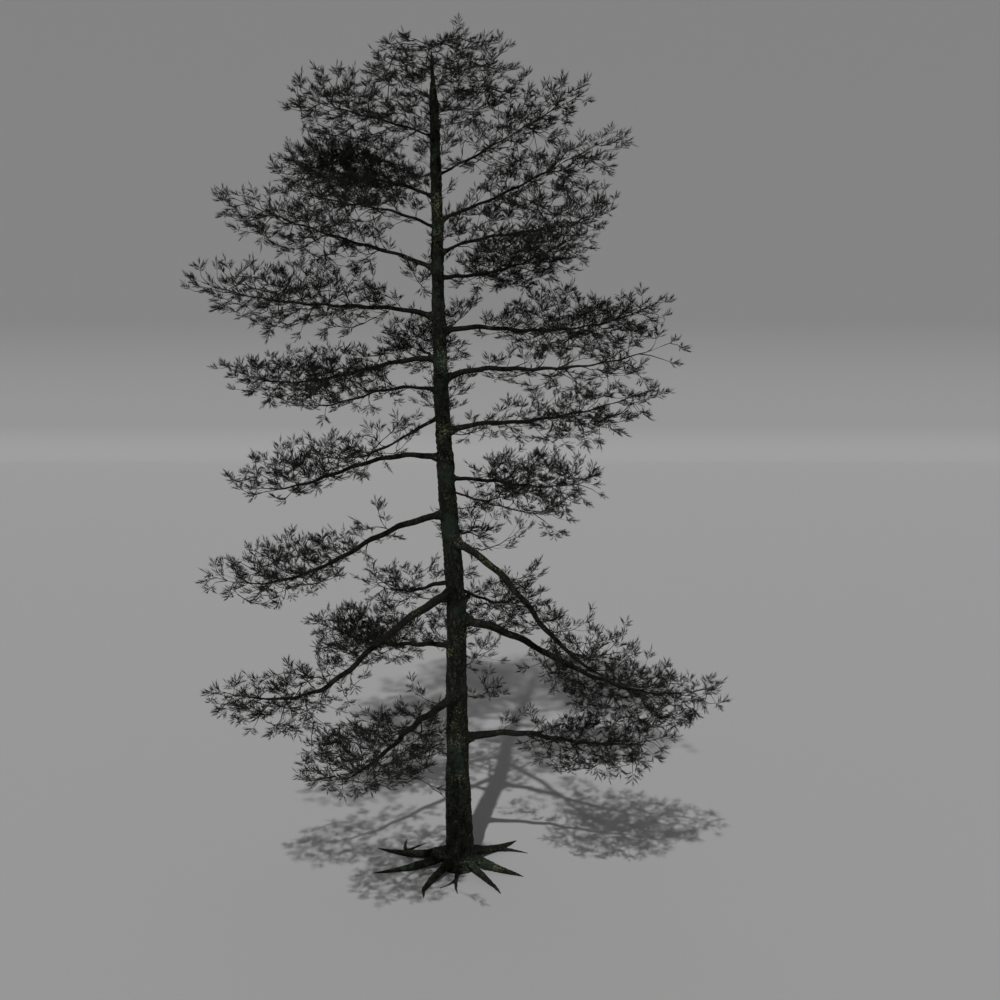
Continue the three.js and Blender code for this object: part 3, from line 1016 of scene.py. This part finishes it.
def tuft_kind(number):
    """A tuft along +Y from the origin: stalks and needles as arrays of corners."""
    dice = random.Random(number)
    spine = Vector((dice.uniform(*SPINE_ASIDE), 1, dice.uniform(*SPINE_RISE))).normalized()
    stalks, blades = stalk(Vector(), spine * SPINE), []
    side = 1 if number % 2 else -1
    for shoot in range(SIDE_BRUSHES + 1):
        place = spine * SPINE * shoot / SIDE_BRUSHES
        swing = math.radians(dice.uniform(*SIDE_ANGLES)) * side
        heading = Vector((math.sin(swing), math.cos(swing), dice.uniform(*SIDE_RISE)))
        if shoot == SIDE_BRUSHES:
            heading = spine
        stem, needles = brush(place, heading, dice.uniform(*BRUSH_LENGTHS), dice)
        stalks += stem
        blades += needles
        side = -side
    return np.array([tuple(v) for v in stalks]), np.array([tuple(v) for v in blades])


tuft_kinds = [tuft_kind(number) for number in range(TUFT_KINDS)]
print("needles in a tuft:", len(tuft_kinds[0][1]) // CORNERS)


# %% Set out the tufts
def tuft_frames(growth):
    """For each tuft its turn and size in one, its place, its kind and its colour."""
    dice = np.random.default_rng(len(growth.tufts))
    places = np.array([tuple(place) for place, _ in growth.tufts])
    forward = np.array([tuple(heading) for _, heading in growth.tufts])
    right = np.cross(forward, (0, 0, 1.0)) + dice.normal(0, TUFT_ROLL, forward.shape)
    right -= forward * (right * forward).sum(1, keepdims=True)
    right /= np.linalg.norm(right, axis=1, keepdims=True)
    turns = np.stack([right, forward, np.cross(right, forward)], axis=2)
    sizes = dice.uniform(*TUFT_SIZES, len(places))
    kinds = dice.integers(0, TUFT_KINDS, len(places))
    colours = dice.choice(len(COLOUR_SHARES), len(places), p=COLOUR_SHARES)
    return turns * sizes[:, None, None], places, kinds, colours


def set_out(template, corner_faces, turns, places):
    """Copies of a template's vertices, one for each tuft, and the faces over them."""
    copies = np.einsum("nij,vj->nvi", turns, template) + places[:, None]
    corners = len(copies) * len(template)
    faces = corner_faces[None] + np.arange(0, corners, CORNERS)[:, None, None]
    return copies.reshape(-1, 3), faces.reshape(-1, 3)


def needles_and_stalks(growth):
    """All needles and all stalks of a growth as arrays, and a colour number for each needle face."""
    turns, places, kinds, colours = tuft_frames(growth)
    needles, stalks, tints = [], [], []
    for kind, (stalk_corners, blade_corners) in enumerate(tuft_kinds):
        chosen = kinds == kind
        if chosen.any():
            needles.append(set_out(blade_corners, BLADE_FACES, turns[chosen], places[chosen]))
            stalks.append(set_out(stalk_corners, STALK_FACES, turns[chosen], places[chosen]))
            tints.append(np.repeat(colours[chosen], len(blade_corners) // 2))
    return join_arrays(needles), join_arrays(stalks), np.concatenate(tints)


needle_count = 0
twig_count = 0
for growth in growths.values():
    needles, stalks, tints = needles_and_stalks(growth)
    piece = mesh_piece("needles_" + growth.name, *needles)
    dress(piece, *needle_materials)
    piece.data.polygons.foreach_set("material_index", tints.astype(np.int32))
    if growth.name != "inner":
        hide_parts("mass_" + growth.name)
    needle_count += len(piece.data.polygons)
    piece = mesh_piece("twigs_" + growth.name, *join_arrays([*twig_tubes(growth), stalks]))
    dress(piece, twig_bark)
    twig_count += len(piece.data.polygons)
print("needle faces:", needle_count, "twig faces:", twig_count)

# %% [markdown]
# ## Sizes, and removing the bark grid
#
# The tufts reach up to about 0.15 m past the design's own box.

# %% Finish
bpy.data.objects.remove(grid)
